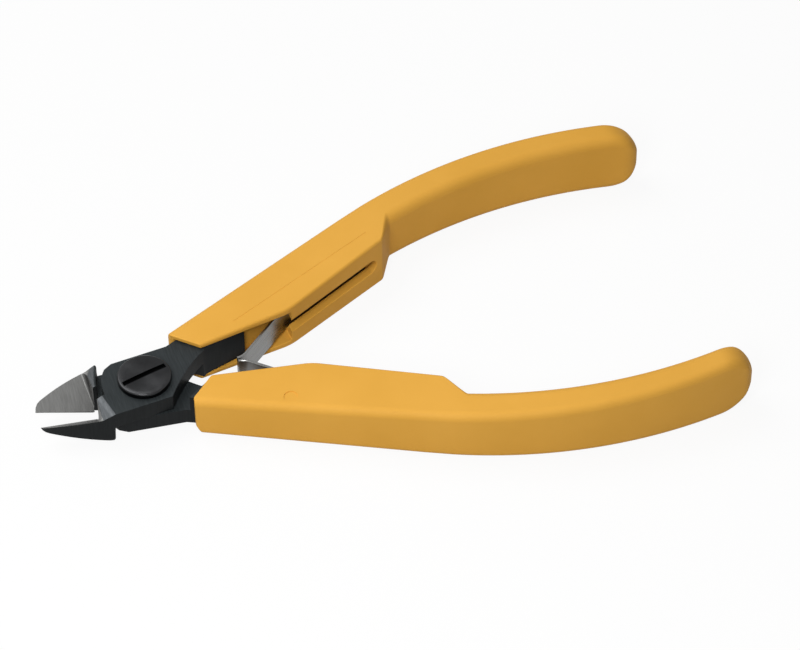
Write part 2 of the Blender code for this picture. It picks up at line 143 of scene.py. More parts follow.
# What the grip holds
STEEL_HALF = 3.0
TANG_FIT = 0.2
TANG_STEP = 18.4
TANG_WIDTH = 3.6
TANG_END = 38.0
POCKET_END = 26.6
POCKET_WALL = 1.0
GROOVE_END = 44.5
GROOVE_DEPTH = 2.7
GROOVE_MOUTH_HEIGHT = 2.6
GROOVE_FRONT_ROOM = 0.36

# Leaf springs
SPRING_FIT = 0.15
LEAF_THICKNESS = 0.45
LEAF_WIDTH = 4.9
LEAF_ARM_ANGLE = 41.0
LEAF_TIP_RADIUS = 2.5
LEAF_TIP_GAP = 0.1
LEAF_BEND_X = 26.4
LEAF_TAIL_END = 43.0
LEAF_BEND_RADIUS = 3.0
LEAF_EDGE = 0.08

# Screw
SCREW_HEAD_RADIUS = 4.3
SCREW_HEAD_BASE = 3.06
SCREW_HEAD_HEIGHT = 1.1
SCREW_CROWN = 0.12
SCREW_EDGE = 0.28
SHANK_RADIUS = 2.5
SHANK_END = -2.85
SLOT_WIDTH = 0.9
SLOT_DEPTH = 0.7
SLOT_LENGTH = 7.6
SLOT_ANGLE = 14.0

# Levers: their broken edges, and the heel where the ground bevel ends
STEEL_EDGE = 0.06
JAW_START = -7.0
HEEL_FILLET = 0.85
HEEL_CORNER = 0.4
HEEL_BACK = -6.8
HEEL_OUTER_LINE = -4.9
HEEL_OUTER_Y = 4.67
HEEL_WELD = 0.05
BEVEL_LIFT = 0.593
BEVEL_HOLLOW = 3
FACET_STEEPER = 1.33

# The levers' finishes, and the half-frame normals of the ground faces
OXIDE, BRIGHT, FILMED = range(3)
GROUND_NORMALS = {
    BRIGHT: ((0.235, 0.83, 1.0), (-0.25, 0.0, -1.0), (-1.0, 0.13, 0.0)),
    FILMED: ((-0.43, -0.06, 1.0),),
}

# What counts as the same, as flat, as hard and as facing a way
CUT_TOLERANCE = 1e-6
WELD = 0.001
FLAT_ANGLE = 0.3
HARD_ANGLE = 32.0
NORMAL_MATCH = 0.995
SQUARE_ON = 0.8
LOOKS_UP = 0.5

# A bevel's profile that is part of a circle
ROUND_PROFILE = 0.5

# Resolution
CORNER_STEPS = 7
END_STEPS = 12
ROUND_STEPS = 96
SOFT_SAMPLES = 9
GRIP_SECTIONS = (4, 8, 4, 20, 30)
TAIL_STEPS = 12
ARM_STEPS = 24
CROWN_STEPS = 6
RIM_STEPS = 4
MOULD_EDGE_STEPS = 3
STEEL_EDGE_STEPS = 2
HEEL_FILLET_STEPS = 4
HEEL_CORNER_STEPS = 3

# Colours, each from a dark end to a light one
GRIP_YELLOWS = ((0.68, 0.345, 0.045), (0.74, 0.382, 0.057))
OXIDE_BLACKS = ((0.0155, 0.019, 0.0205), (0.026, 0.031, 0.033))
BRIGHT_GREYS = ((0.11, 0.11, 0.107), (0.15, 0.15, 0.147))
FILMED_GREYS = ((0.055, 0.06, 0.063), (0.09, 0.095, 0.1))
TURNED_BLACKS = ((0.022, 0.0225, 0.0235), (0.037, 0.0375, 0.039))
STRIP_GREYS = ((0.17, 0.17, 0.165), (0.205, 0.205, 0.2))

# Painted shade: the share of the oxide's colour that upright faces keep, so they come out darker than faces
# that look up
SIDE_PAINTED_SHADE = 0.3

# Stretches of a texture on each axis: even, or drawn out into fine lines
EVEN = (1, 1, 1)
OXIDE_LINES = (4200, 300, 300)
GROUND_LINES = (5200, 500, 500)
STRIP_LINES = (60, 60, 1200)

SQUEEZE = next(joint for joint in frame["joints"] if joint["name"] == "handle_squeeze")
HALF_OPENING = math.radians(SQUEEZE["range_deg"][1] / 2)
STEP_END = STEP_START + STEP_LENGTH
SCREW_TOP = SCREW_HEAD_BASE + SCREW_HEAD_HEIGHT


def tool_matrix():
    """The tool's own frame in the world, in millimetres: pivot at the origin, screw up."""
    up = -Vector(SQUEEZE["axis"]).normalized()
    across = Vector((0, 1, 0))
    along = across.cross(up)
    turn = Matrix((along, across, up)).transposed().to_4x4()
    return Matrix.Translation(SQUEEZE["pos_m"]) @ turn @ Matrix.Scale(MM, 4)


def half_matrix(side):
    """The upper half (side 1) or the lower half (side -1), opened as it rests."""
    return tool_matrix() @ Matrix.Rotation(side * HALF_OPENING, 4, "Z")


# Mesh tools


def object_from(name, bm, matrix):
    """An object made from a bmesh and placed in the world."""
    bmesh.ops.recalc_face_normals(bm, faces=bm.faces)
    bm.transform(matrix)
    mesh = bpy.data.meshes.new(name)
    bm.to_mesh(mesh)
    bm.free()
    item = bpy.data.objects.new(name, mesh)
    bpy.context.scene.collection.objects.link(item)
    return item


def prism(outline, low, high):
    """A plan outline raised from z = low to z = high."""
    bm = bmesh.new()
    base = bm.faces.new([bm.verts.new((x, y, low)) for x, y in outline])
    raised = bmesh.ops.extrude_face_region(bm, geom=[base])
    top = [item for item in raised["geom"] if isinstance(item, bmesh.types.BMVert)]
    bmesh.ops.translate(bm, vec=(0, 0, high - low), verts=top)
    return bm


def clip(bm, point, normal):
    """Cut away what lies on the normal's side of a plane, and close the cut."""
    cut = bmesh.ops.bisect_plane(
        bm,
        geom=list(bm.verts) + list(bm.edges) + list(bm.faces),
        plane_co=point,
        plane_no=normal,
        clear_outer=True,
        dist=CUT_TOLERANCE,
    )
    edges = [item for item in cut["geom_cut"] if isinstance(item, bmesh.types.BMEdge)]
    bmesh.ops.contextual_create(bm, geom=edges)


def loft(rings):
    """A closed skin through rings of points, with flat ends."""
    bm = bmesh.new()
    made = [[bm.verts.new(point) for point in ring] for ring in rings]
    count = len(made[0])
    for ring, following in zip(made, made[1:]):
        for step in range(count):
            after = (step + 1) % count
            bm.faces.new((ring[step], ring[after], following[after], following[step]))
    bm.faces.new(made[0])
    bm.faces.new(made[-1])
    return bm


def apply_modifiers(item):
    """Keep what the modifiers make as the item's mesh."""
    bpy.context.view_layer.update()
    graph = bpy.context.evaluated_depsgraph_get()
    mesh = bpy.data.meshes.new_from_object(item.evaluated_get(graph))
    item.modifiers.clear()
    item.data = mesh
    mesh.name = item.name


def carve(item, cutters):
    """Subtract the cutters from the item, and drop them."""
    for cutter in cutters:
        boolean = item.modifiers.new(cutter.name, "BOOLEAN")
        boolean.operation = "DIFFERENCE"
        boolean.solver = "EXACT"
        boolean.object = cutter
    apply_modifiers(item)
    for cutter in cutters:
        bpy.data.objects.remove(cutter, do_unlink=True)


def round_edges(item, width, steps):
    """Round the hard edges over."""
    bevel = item.modifiers.new("edge", "BEVEL")
    bevel.width = width * MM
    bevel.segments = steps
    bevel.limit_method = "ANGLE"
    bevel.angle_limit = math.radians(HARD_ANGLE)
    bevel.miter_outer = "MITER_ARC"
    bevel.use_clamp_overlap = False
    apply_modifiers(item)


def shade(item):
    """Shade the item smooth except at its hard edges."""
    item.data.shade_smooth()
    item.data.set_sharp_from_angle(angle=math.radians(HARD_ANGLE))


def shade_evenly(item):
    """Shade the item smooth except at its hard edges, with each large face flat."""
    shade(item)
    even = item.modifiers.new("even", "WEIGHTED_NORMAL")
    even.keep_sharp = True
    apply_modifiers(item)


def dress(item, body, mat, node):
    """Give a piece its material and its body, and hide the node that it stands for."""
    item.data.materials.clear()
    item.data.materials.append(mat)
    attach(item, body)
    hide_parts(node)


def mirrored(points, side):
    """Plan points on the +Y side, or reflected to the -Y side."""
    return [(x, y * side) for x, y in points]


def circle(radius):
    """Plan points round a circle about the origin."""
    turns = [2 * math.pi * step / ROUND_STEPS for step in range(ROUND_STEPS)]
    return [(radius * math.cos(turn), radius * math.sin(turn)) for turn in turns]


def spread(start, end, steps):
    """Evenly spaced values from the start up to, but without, the end."""
    return [start + (end - start) * step / steps for step in range(steps)]


def smoothstep(value, low, high):
    """0 below low, 1 above high, and an even ease between them."""
    share = min(max((value - low) / (high - low), 0.0), 1.0)
    return share * share * (3 - 2 * share)


def drop(distance, radius):
    """How far a rounded end falls back from its full size at a distance from its tip."""
    if distance >= radius:
        return 0.0
    return radius - math.sqrt(radius**2 - (radius - distance) ** 2)


# The grip's lines


def outer_y(x):
    """The grip's outer edge: straight, then a long arc that runs over to the end."""
    start_x, start_y = FRONT_OUTER
    straight = start_y + FRONT_CORNER + OUTER_SLOPE * (min(x, OUTER_STRAIGHT_END) - start_x)
    if x <= OUTER_STRAIGHT_END:
        return straight
    lean = math.atan(OUTER_SLOPE)
    turned = math.asin(math.sin(lean) - (x - OUTER_STRAIGHT_END) / OUTER_RADIUS)
    return straight + OUTER_RADIUS * (math.cos(turned) - math.cos(lean))


def ramp_y(x):
    """The grip's inner edge between the hump and the step."""
    start_x, start_y = FRONT_INNER
    return start_y + INNER_SLOPE * (HUMP_X - start_x) + RAMP_SLOPE * (x - HUMP_X)


def rear_inner_y(x):
    """The grip's inner edge behind the step."""
    share = (x - STEP_END) / (GRIP_END - STEP_END)
    return outer_y(x) - WIDTH_AT_STEP - (WIDTH_AT_END - WIDTH_AT_STEP) * share


def sharp_inner_y(x):
    """The grip's inner edge with its corners sharp."""
    start_x, start_y = FRONT_INNER
    if x <= HUMP_X:
        return start_y + INNER_SLOPE * (x - start_x)
    if x <= STEP_START:
        return ramp_y(x)
    if x >= STEP_END:
        return rear_inner_y(x)
    share = (x - STEP_START) / STEP_LENGTH
    return ramp_y(STEP_START) * (1 - share) + rear_inner_y(STEP_END) * share


def inner_y(x):
    """The grip's inner edge, with the hump's corner eased more than the step's."""
    softness = HUMP_SOFTNESS if x < (HUMP_X + STEP_START) / 2 else STEP_SOFTNESS
    offsets = [softness * (2 * step / (SOFT_SAMPLES - 1) - 1) for step in range(SOFT_SAMPLES)]
    near = [min(x + offset, GRIP_END) for offset in offsets]
    return sum(sharp_inner_y(place) for place in near) / SOFT_SAMPLES


def half_height(x):
    """Half the grip's height, which grows evenly to the rear."""
    share = (x - FRONT_OUTER[0]) / (GRIP_END - FRONT_OUTER[0])
    return FRONT_HALF_HEIGHT + (REAR_HALF_HEIGHT - FRONT_HALF_HEIGHT) * share


def tang_outer_y(x):
    """The tang's outer side inside the grip."""
    reach = (GRIP_WALL + TANG_FIT) * math.hypot(1, OUTER_SLOPE)
    return FRONT_OUTER[1] + FRONT_CORNER + OUTER_SLOPE * (x - FRONT_OUTER[0]) - reach


def tang_inner_y(x):
    """The tang's inner side."""
    return tang_outer_y(x) - TANG_WIDTH * math.hypot(1, OUTER_SLOPE)


def groove_back_y(x):
    """The back wall of the slot that holds the leaf's tail."""
    return ramp_y(x) + GROOVE_DEPTH * math.hypot(1, RAMP_SLOPE)


def leaf_tail_y(x):
    """The middle of the leaf's tail."""
    return groove_back_y(x) - (SPRING_FIT + LEAF_THICKNESS / 2) * math.hypot(1, RAMP_SLOPE)


# Grips


def grip_section(x, side):
    """One section of the grip at x, with each corner rounded."""
    from_end = GRIP_END - x
    outer = outer_y(x) - drop(from_end, END_OUTER_RADIUS)
    inner = inner_y(x) + drop(from_end, END_INNER_RADIUS)
    middle = (inner + outer) / 2
    half_width = (outer - inner) / 2
    height = half_height(x) - drop(from_end, END_SIDE_RADIUS)
    change = smoothstep(x, STEP_START - STEP_SOFTNESS, STEP_END + STEP_SOFTNESS)
    soft = INNER_FRONT_ROUNDING + (INNER_REAR_ROUNDING - INNER_FRONT_ROUNDING) * change
    corners = [(1, 1, OUTER_ROUNDING), (-1, 1, soft), (-1, -1, soft), (1, -1, OUTER_ROUNDING)]
    points = []
    for quarter, (across, up, rounding) in enumerate(corners):
        radius = min(rounding, ROUNDING_LIMIT * half_width, ROUNDING_LIMIT * height)
        for step in range(CORNER_STEPS + 1):
            angle = math.pi / 2 * (quarter + step / CORNER_STEPS)
            y = middle + across * (half_width - radius) + radius * math.cos(angle)
            points.append((x, y * side, up * (height - radius) + radius * math.sin(angle)))
    return points


def grip_stations():
    """Where the grip's sections lie, close together at its corners and its round end."""
    end_start = GRIP_END - END_SIDE_RADIUS
    stretches = [
        FRONT_OUTER[0] - FRONT_ROOM,
        HUMP_X - HUMP_SOFTNESS,
        HUMP_X + HUMP_SOFTNESS,
        STEP_START - STEP_SOFTNESS,
        STEP_END + STEP_SOFTNESS,
        end_start,
    ]
    stations = []
    for start, end, count in zip(stretches, stretches[1:], GRIP_SECTIONS):
        stations += spread(start, end, count)
    for step in range(END_STEPS + 1):
        angle = math.radians(END_TURN) * step / END_STEPS
        stations.append(end_start + END_SIDE_RADIUS * math.sin(angle))
    return stations


def grip_shell(side):
    """The grip's outside, cut off aslant at its front and under it."""
    bm = loft([grip_section(x, side) for x in grip_stations()])
    bmesh.ops.recalc_face_normals(bm, faces=bm.faces)
    start_x, start_y = FRONT_OUTER
    front = Vector(FRONT_INNER) - Vector(FRONT_OUTER)
    sole = FRONT_SOLE_RISE - FRONT_HALF_HEIGHT
    clip(bm, (start_x, start_y * side, 0), (front.y, -front.x * side, 0))
    clip(bm, (start_x, 0, 0), (-1, 0, 0))
    clip(bm, (start_x, 0, sole), (-FRONT_SOLE_RISE, 0, -FRONT_SOLE_LENGTH))
    return bm


def channel(side):
    """The cavity for the neck, the spring's pocket and the tang."""
    step = TANG_STEP + TANG_FIT
    end = TANG_END + TANG_FIT
    pocket_wall = POCKET_WALL + TANG_FIT
    outline = [
        (-FAR, -FAR),
        (POCKET_END, -FAR),
        (POCKET_END, tang_inner_y(POCKET_END) - pocket_wall),
        (step, tang_inner_y(step) - pocket_wall),
        (step, tang_inner_y(step) - TANG_FIT),
        (end, tang_inner_y(end) - TANG_FIT),
        (end, tang_outer_y(end) + TANG_FIT),
        (-FAR, tang_outer_y(-FAR) + TANG_FIT),
    ]
    height = STEEL_HALF + TANG_FIT
    return prism(mirrored(outline, side), -height, height)


def groove(side):
    """The slot behind the inner face that holds the leaf's tail."""
    start = POCKET_END - TANG_FIT
    width = (LEAF_THICKNESS + 2 * SPRING_FIT + GROOVE_FRONT_ROOM) * math.hypot(1, RAMP_SLOPE)
    outline = [
        (start, groove_back_y(start) - width),
        (GROOVE_END, groove_back_y(GROOVE_END) - width),
        (GROOVE_END, groove_back_y(GROOVE_END)),
        (start, groove_back_y(start)),
    ]
    height = LEAF_WIDTH / 2 + SPRING_FIT
    return prism(mirrored(outline, side), -height, height)


def groove_mouth(side):
    """The slot's narrower opening in the inner face, round at its rear end."""
    radius = GROOVE_MOUTH_HEIGHT / 2
    start = POCKET_END - TANG_FIT
    outline = [(start, radius), (start, -radius)]
    for step in range(2 * CORNER_STEPS + 1):
        angle = math.pi * step / (2 * CORNER_STEPS) - math.pi / 2
        outline.append((GROOVE_END - radius + radius * math.cos(angle), radius * math.sin(angle)))
    bm = prism(outline, -FAR, FAR)
    bm.transform(Matrix.Rotation(math.pi / 2, 4, "X"))
    clip(bm, (0, leaf_tail_y(0) * side, 0), (-RAMP_SLOPE, side, 0))
    return bm


def flat_mark(place, outline, depth, up):
    """A shallow cutter about a place on the grip's sloping top (up 1) or underside (up -1)."""
    rise = (REAR_HALF_HEIGHT - FRONT_HALF_HEIGHT) / (GRIP_END - FRONT_OUTER[0])
    bm = prism(outline, -depth, depth)
    slope = Matrix.Rotation(-math.atan(rise), 4, "Y")
    flip = Matrix.Scale(up, 4, (0, 0, 1))
    bm.transform(flip @ Matrix.Translation((*place, half_height(place[0]))) @ slope)
    return bm


def mould_line(side):
    """The mould's faint line along one face of the moulding, which is up on the upper grip."""
    start, end = MOULD_LINE_RANGE
    middle = (start + end) / 2
    place = (middle, (outer_y(middle) - MOULD_LINE_INSET) * side)
    reach = (end - start) / 2
    outline = [(-reach, -reach * OUTER_SLOPE), (reach, reach * OUTER_SLOPE)]
    outline += [(x, y + MOULD_LINE_WIDTH) for x, y in reversed(outline)]
    return flat_mark(place, mirrored(outline, side), MOULD_LINE_DEPTH, side)


def ejector_mark(side):
    """The mark of the pin that pushed the grip out of its mould, on the moulding's other face."""
    place = mirrored([EJECTOR_PLACE], side)[0]
    return flat_mark(place, circle(EJECTOR_RADIUS), EJECTOR_DEPTH, -side)


def grip(half, side, mat):
    """One moulded grip, with soft mould edges on its cuts."""
    matrix = half_matrix(side)
    item = object_from(half + "_grip_moulding", grip_shell(side), matrix)
    cuts = {"channel": channel(side), "groove": groove(side), "mouth": groove_mouth(side)}
    marks = {"line": mould_line(side), "ejector": ejector_mark(side)}
    carve(item, [object_from(half + "_" + word, cut, matrix) for word, cut in cuts.items()])
    round_edges(item, MOULD_EDGE, MOULD_EDGE_STEPS)
    carve(item, [object_from(half + "_" + word, mark, matrix) for word, mark in marks.items()])
    shade_evenly(item)
    dress(item, half + "_half", mat, half + "_grip")


# Leaf springs


def leaf_bend():
    """The corner where the lines of a leaf's tail and arm meet."""
    return Vector((LEAF_BEND_X, leaf_tail_y(LEAF_BEND_X)))


def arm_direction():
    """The way that a leaf's arm runs from its bend."""
    lean = math.radians(LEAF_ARM_ANGLE) - HALF_OPENING
    return -Vector((math.cos(lean), math.sin(lean)))


def arm_length():
    """How far a leaf's arm runs straight, so that its hooked tip ends beside the centre line."""
    bend = leaf_bend()
    lean = math.radians(LEAF_ARM_ANGLE)
    bend_y = bend.y * math.cos(HALF_OPENING) + bend.x * math.sin(HALF_OPENING)
    tip_y = LEAF_TIP_GAP + LEAF_THICKNESS / 2
    return (bend_y - tip_y - LEAF_TIP_RADIUS * (1 - math.cos(lean))) / math.sin(lean)


def eased_corner(start, corner, end):
    """A curve that sets out from the start towards the corner and comes round to the end."""
    points = []
    for step in range(CORNER_STEPS + 1):
        share = step / CORNER_STEPS
        points.append(start.lerp(corner, share).lerp(corner.lerp(end, share), share))
    return points


def hooked_tip(knee):
    """The arc at the arm's end, which turns the tip in line with the tool."""
    along = arm_direction()
    away = Vector((along.y, -along.x))
    points = []
    for step in range(2 * CORNER_STEPS + 1):
        angle = math.radians(LEAF_ARM_ANGLE) * step / (2 * CORNER_STEPS)
        turned = along * math.sin(angle) + away * (1 - math.cos(angle))
        points.append(knee + turned * LEAF_TIP_RADIUS)
    return points


def leaf_path():
    """The middle line of a leaf, from its tail's end round the bend and down the arm to its tip."""
    bend = leaf_bend()
    along = arm_direction()
    tail = Vector((1, RAMP_SLOPE)).normalized()
    turn = math.radians(LEAF_ARM_ANGLE) - HALF_OPENING - math.atan(RAMP_SLOPE)
    tangent = LEAF_BEND_RADIUS * math.tan(turn / 2)
    straight = arm_length()
    path = [Vector((x, leaf_tail_y(x))) for x in spread(LEAF_TAIL_END, bend.x + tangent, TAIL_STEPS)]
    path += eased_corner(bend + tail * tangent, bend, bend + along * tangent)
    path += [bend + along * length for length in spread(tangent, straight, ARM_STEPS)[1:]]
    path += hooked_tip(bend + along * straight)
    return path


def leaf_section():
    """The strip's section, with a rolled strip's slightly rounded edges."""
    face = LEAF_THICKNESS / 2
    edge = LEAF_WIDTH / 2
    section = [(face, edge - LEAF_EDGE), (face - LEAF_EDGE, edge)]
    section += [(-offset, z) for offset, z in reversed(section)]
    section += [(-offset, -z) for offset, z in section]
    return section


def leaf_rings(path, side):
    """The strip's sections across its path."""
    rings = []
    for index, point in enumerate(path):
        run = (path[min(index + 1, len(path) - 1)] - path[max(index - 1, 0)]).normalized()
        across = Vector((-run.y, run.x))
        ring = []
        for offset, z in leaf_section():
            place = point + across * offset
            ring.append((place.x, place.y * side, z))
        rings.append(ring)
    return rings


def leaf(half, side, mat):
    """One leaf spring, a single strip that bends between its grip and its arm's body."""
    matrix = half_matrix(side)
    item = object_from(half + "_leaf", loft(leaf_rings(leaf_path(), side)), matrix)
    shade(item)
    item.data.materials.append(mat)
    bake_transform(item)
    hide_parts(half + "_spring_tail", half + "_spring_arm")


# Screw


def screw_profile():
    """Radii and heights down the screw: its crowned face, its round rim, its head's side and its shank."""
    face_radius = SCREW_HEAD_RADIUS - SCREW_EDGE
    profile = []
    for step in range(1, CROWN_STEPS + 1):
        share = step / CROWN_STEPS
        profile.append((face_radius * share, SCREW_TOP - SCREW_CROWN * share**2))
    for step in range(1, RIM_STEPS + 1):
        angle = math.pi / 2 * step / RIM_STEPS
        fall = SCREW_CROWN + SCREW_EDGE * (1 - math.cos(angle))
        profile.append((face_radius + SCREW_EDGE * math.sin(angle), SCREW_TOP - fall))
    profile.append((SCREW_HEAD_RADIUS, SCREW_HEAD_BASE))
    profile.append((SHANK_RADIUS, SCREW_HEAD_BASE))
    profile.append((SHANK_RADIUS, SHANK_END))
    return profile


def screw(mat):
    """The slotted pivot screw, with a slightly crowned turned face."""
    matrix = tool_matrix() @ Matrix.Rotation(math.radians(SLOT_ANGLE), 4, "Z")
    rings = [[(x, y, z) for x, y in circle(radius)] for radius, z in screw_profile()]
    item = object_from("pivot_screw_turned", loft(rings), matrix)
    end = SLOT_LENGTH / 2
    edge = SLOT_WIDTH / 2
    outline = [(-end, -edge), (end, -edge), (end, edge), (-end, edge)]
    slot = prism(outline, SCREW_TOP - SLOT_DEPTH, SCREW_TOP + SLOT_DEPTH)
    carve(item, [object_from("slot", slot, matrix)])
    shade(item)
    dress(item, "lower_half", mat, "pivot_screw")


# Levers


def half_normal(face, back):
    """A face's normal in the half frame, with back the way there from the world."""
    return (back.to_3x3() @ face.normal).normalized()


def finish_of(face, back, side):
    """A lever face's finish, told by its place and by the way it looks."""
    if (back @ face.calc_center_median()).x > JAW_START:
        return OXIDE
    normal = half_normal(face, back)
    normal.y *= side
    for finish, normals in GROUND_NORMALS.items():
        if any(normal.dot(Vector(ground).normalized()) > NORMAL_MATCH for ground in normals):
            return finish
    return OXIDE


def is_heel(edge):
    """Whether an edge lies in the hollow between two bright ground faces, the bevel and the heel wall."""
    if edge.is_convex or any(face.material_index != BRIGHT for face in edge.link_faces):
        return False
    return edge.is_manifold and edge.calc_face_angle() > math.radians(HARD_ANGLE)


def is_heel_corner(edge, back, side):
    """Whether an edge is one of the heel's eased corners: along its back, or upright at its outer end."""
    ends = [back @ vert.co for vert in edge.verts]
    if not edge.is_convex or max(end.x for end in ends) > HEEL_BACK:
        return False
    normals = [half_normal(face, back) for face in edge.link_faces]
    behind = any(normal.x > SQUARE_ON for normal in normals)
    level = any(abs(normal.z) > SQUARE_ON for normal in normals)
    outside = all(end.y * side < HEEL_OUTER_LINE for end in ends)
    return behind and (level or outside)


def meet_at_heel(bm, placed, back):
    """Draw the jaw's hollow ground bevel up and tip its facet down, so that they meet at the outer side."""
    for vert in bm.verts:
        place = back @ vert.co
        top_faces = [face for face in vert.link_faces if half_normal(face, back).z > LOOKS_UP]
        finishes = [face.material_index for face in top_faces]
        if BRIGHT in finishes:
            place.z += BEVEL_LIFT * abs(place.y / HEEL_OUTER_Y) ** BEVEL_HOLLOW
        elif FILMED in finishes:
            place.z = STEEL_HALF - FACET_STEEPER * (STEEL_HALF - place.z)
        vert.co = placed @ place
    bmesh.ops.remove_doubles(bm, verts=bm.verts, dist=HEEL_WELD * MM)
    bm.normal_update()


def ease(bm, edges, width, steps, finish):
    """Round some edges over, and give the faces that this makes a finish."""
    bmesh.ops.bevel(
        bm,
        geom=edges,
        offset=width * MM,
        segments=steps,
        profile=ROUND_PROFILE,
        affect="EDGES",
        material=finish,
    )


def lever_mesh(node, side):
    """The solid's form with its finishes told apart and its heel ground and eased."""
    placed = half_matrix(side)
    back = placed.inverted()
    bm = bmesh.new()
    bm.from_mesh(frame["nodes"][node].data)
    bmesh.ops.remove_doubles(bm, verts=bm.verts, dist=WELD * MM)
    bmesh.ops.dissolve_limit(bm, angle_limit=math.radians(FLAT_ANGLE), verts=bm.verts, edges=bm.edges)
    for face in bm.faces:
        face.material_index = finish_of(face, back, side)
    meet_at_heel(bm, placed, back)
    hollow = [edge for edge in bm.edges if is_heel(edge)]
    ease(bm, hollow, HEEL_FILLET, HEEL_FILLET_STEPS, BRIGHT)
    corners = [edge for edge in bm.edges if is_heel_corner(edge, back, side)]
    ease(bm, corners, HEEL_CORNER, HEEL_CORNER_STEPS, OXIDE)
    return bm


def lever(node, half, side, mats):
    """One lever, with its edges broken and its ground faces bright."""
    item = object_from(node + "_forging", lever_mesh(node, side), Matrix.Identity(4))
    for mat in mats:
        item.data.materials.append(mat)
    round_edges(item, STEEL_EDGE, STEEL_EDGE_STEPS)
    shade_evenly(item)
    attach(item, half + "_half")
    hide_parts(node)


# Materials


class Nodes:
    """A material's node tree, with short calls to add and link nodes."""

    def __init__(self, name):
        self.mat = bpy.data.materials.new(name)
        self.mat.use_nodes = True
        self.tree = self.mat.node_tree
        self.shader = self.tree.nodes["Principled BSDF"]

    def add(self, kind, **values):
        """A new node of a kind, with some of its settings."""
        node = self.tree.nodes.new("ShaderNode" + kind)
        for key, value in values.items():
            setattr(node, key, value)
        return node

    def link(self, source, target):
        """Join an output to an input."""
        self.tree.links.new(source, target)

    def set(self, **values):
        """Set the shader's inputs, with an underscore for each space in a name."""
        for key, value in values.items():
            self.shader.inputs[key.replace("_", " ")].default_value = value

    def coordinates(self, scale):
        """The piece's own coordinates, stretched by a scale on each axis."""
        place = self.add("TexCoord")
        mapping = self.add("Mapping")
        mapping.inputs["Scale"].default_value = scale
        self.link(place.outputs["Object"], mapping.inputs["Vector"])
        return mapping.outputs["Vector"]

    def noise(self, vector, scale, detail):
        """A noise from 0 to 1."""
        noise = self.add("TexNoise")
        noise.inputs["Scale"].default_value = scale
        noise.inputs["Detail"].default_value = detail
        self.link(vector, noise.inputs["Vector"])
        return noise.outputs["Fac"]

    def ramp(self, value, low, high, colors):
        """A colour that runs from the first at the low value to the second at the high one."""
        ramp = self.add("ValToRGB")
        for element, position, color in zip(ramp.color_ramp.elements, (low, high), colors):
            element.position = position
            element.color = (*color, 1)
        self.link(value, ramp.inputs["Fac"])
        return ramp.outputs["Color"]

    def between(self, value, low, high):
        """The low number where the value is 0, and the high one where it is 1."""
        scale = self.add("MapRange")
        scale.inputs["To Min"].default_value = low
        scale.inputs["To Max"].default_value = high
        self.link(value, scale.inputs["Value"])
        return scale.outputs["Result"]

    def upward(self):
        """0 where a face is upright and 1 where it looks straight up."""
        geometry = self.add("NewGeometry")
        parts = self.add("SeparateXYZ")
        self.link(geometry.outputs["Normal"], parts.inputs["Vector"])
        return parts.outputs["Z"]

    def darker(self, color, share):
        """A share of a colour."""
        scale = self.add("VectorMath", operation="SCALE")
        self.link(color, scale.inputs[0])
        self.link(share, scale.inputs["Scale"])
        return scale.outputs["Vector"]

    def color(self, value):
        """Give the shader its colour."""
        self.link(value, self.shader.inputs["Base Color"])

    def roughness(self, value):
        """Give the shader its roughness."""
        self.link(value, self.shader.inputs["Roughness"])

    def bump(self, height, strength, distance):
        """Raise the shader's surface by a height."""
        bump = self.add("Bump")
        bump.inputs["Strength"].default_value = strength
        bump.inputs["Distance"].default_value = distance
        self.link(height, bump.inputs["Height"])
        self.link(bump.outputs["Normal"], self.shader.inputs["Normal"])


def grip_plastic():
    """Golden yellow moulded plastic: faint flow clouding, handling shine and a fine mould texture."""
    nodes = Nodes("grip_plastic")
    place = nodes.coordinates(EVEN)
    clouds = nodes.noise(place, scale=60, detail=4)
    shine = nodes.noise(place, scale=180, detail=3)
    grain = nodes.noise(place, scale=3200, detail=2)
    nodes.color(nodes.ramp(clouds, low=0.3, high=0.72, colors=GRIP_YELLOWS))
    nodes.roughness(nodes.between(shine, low=0.55, high=0.7))
    nodes.bump(grain, strength=0.12, distance=0.00004)
    nodes.set(Specular_IOR_Level=0.2)
    return nodes.mat


def oxide_steel():
    """Blackened steel with fine grinding lines under the oxide, and painted shade that makes its upright
    sides blacker.
    """
    nodes = Nodes("oxide_steel")
    lines = nodes.noise(nodes.coordinates(OXIDE_LINES), scale=1, detail=3)
    clouds = nodes.noise(nodes.coordinates(EVEN), scale=420, detail=4)
    tone = nodes.ramp(lines, low=0.32, high=0.7, colors=OXIDE_BLACKS)
    # Painted shade: the colour is full on faces that look up and scaled down to a share of it on upright
    # faces
    nodes.color(nodes.darker(tone, nodes.between(nodes.upward(), low=SIDE_PAINTED_SHADE, high=1)))
    nodes.roughness(nodes.between(clouds, low=0.48, high=0.62))
    nodes.bump(lines, strength=0.25, distance=0.00002)
    nodes.set(Metallic=0.0, Specular_IOR_Level=0.12)
    return nodes.mat


def ground_steel(name, colors):
    """Bare ground steel between two greys, with grinding lines and a mottled film."""
    nodes = Nodes(name)
    lines = nodes.noise(nodes.coordinates(GROUND_LINES), scale=1, detail=2)
    clouds = nodes.noise(nodes.coordinates(EVEN), scale=700, detail=5)
    nodes.color(nodes.ramp(lines, low=0.25, high=0.75, colors=colors))
    nodes.roughness(nodes.between(clouds, low=0.42, high=0.55))
    nodes.bump(lines, strength=0.3, distance=0.00002)
    nodes.set(Metallic=1.0)
    return nodes.mat


def turned_steel():
    """The screw's turned face: dark, with rings that draw the light into a bow tie."""
    nodes = Nodes("turned_steel")
    clouds = nodes.noise(nodes.coordinates(EVEN), scale=300, detail=4)
    nodes.color(nodes.ramp(clouds, low=0.3, high=0.75, colors=TURNED_BLACKS))
    nodes.roughness(nodes.between(clouds, low=0.16, high=0.24))
    tangent = nodes.add("Tangent", direction_type="RADIAL", axis="Z")
    nodes.link(tangent.outputs["Tangent"], nodes.shader.inputs["Tangent"])
    nodes.set(Metallic=1.0, Anisotropic=0.85)
    return nodes.mat


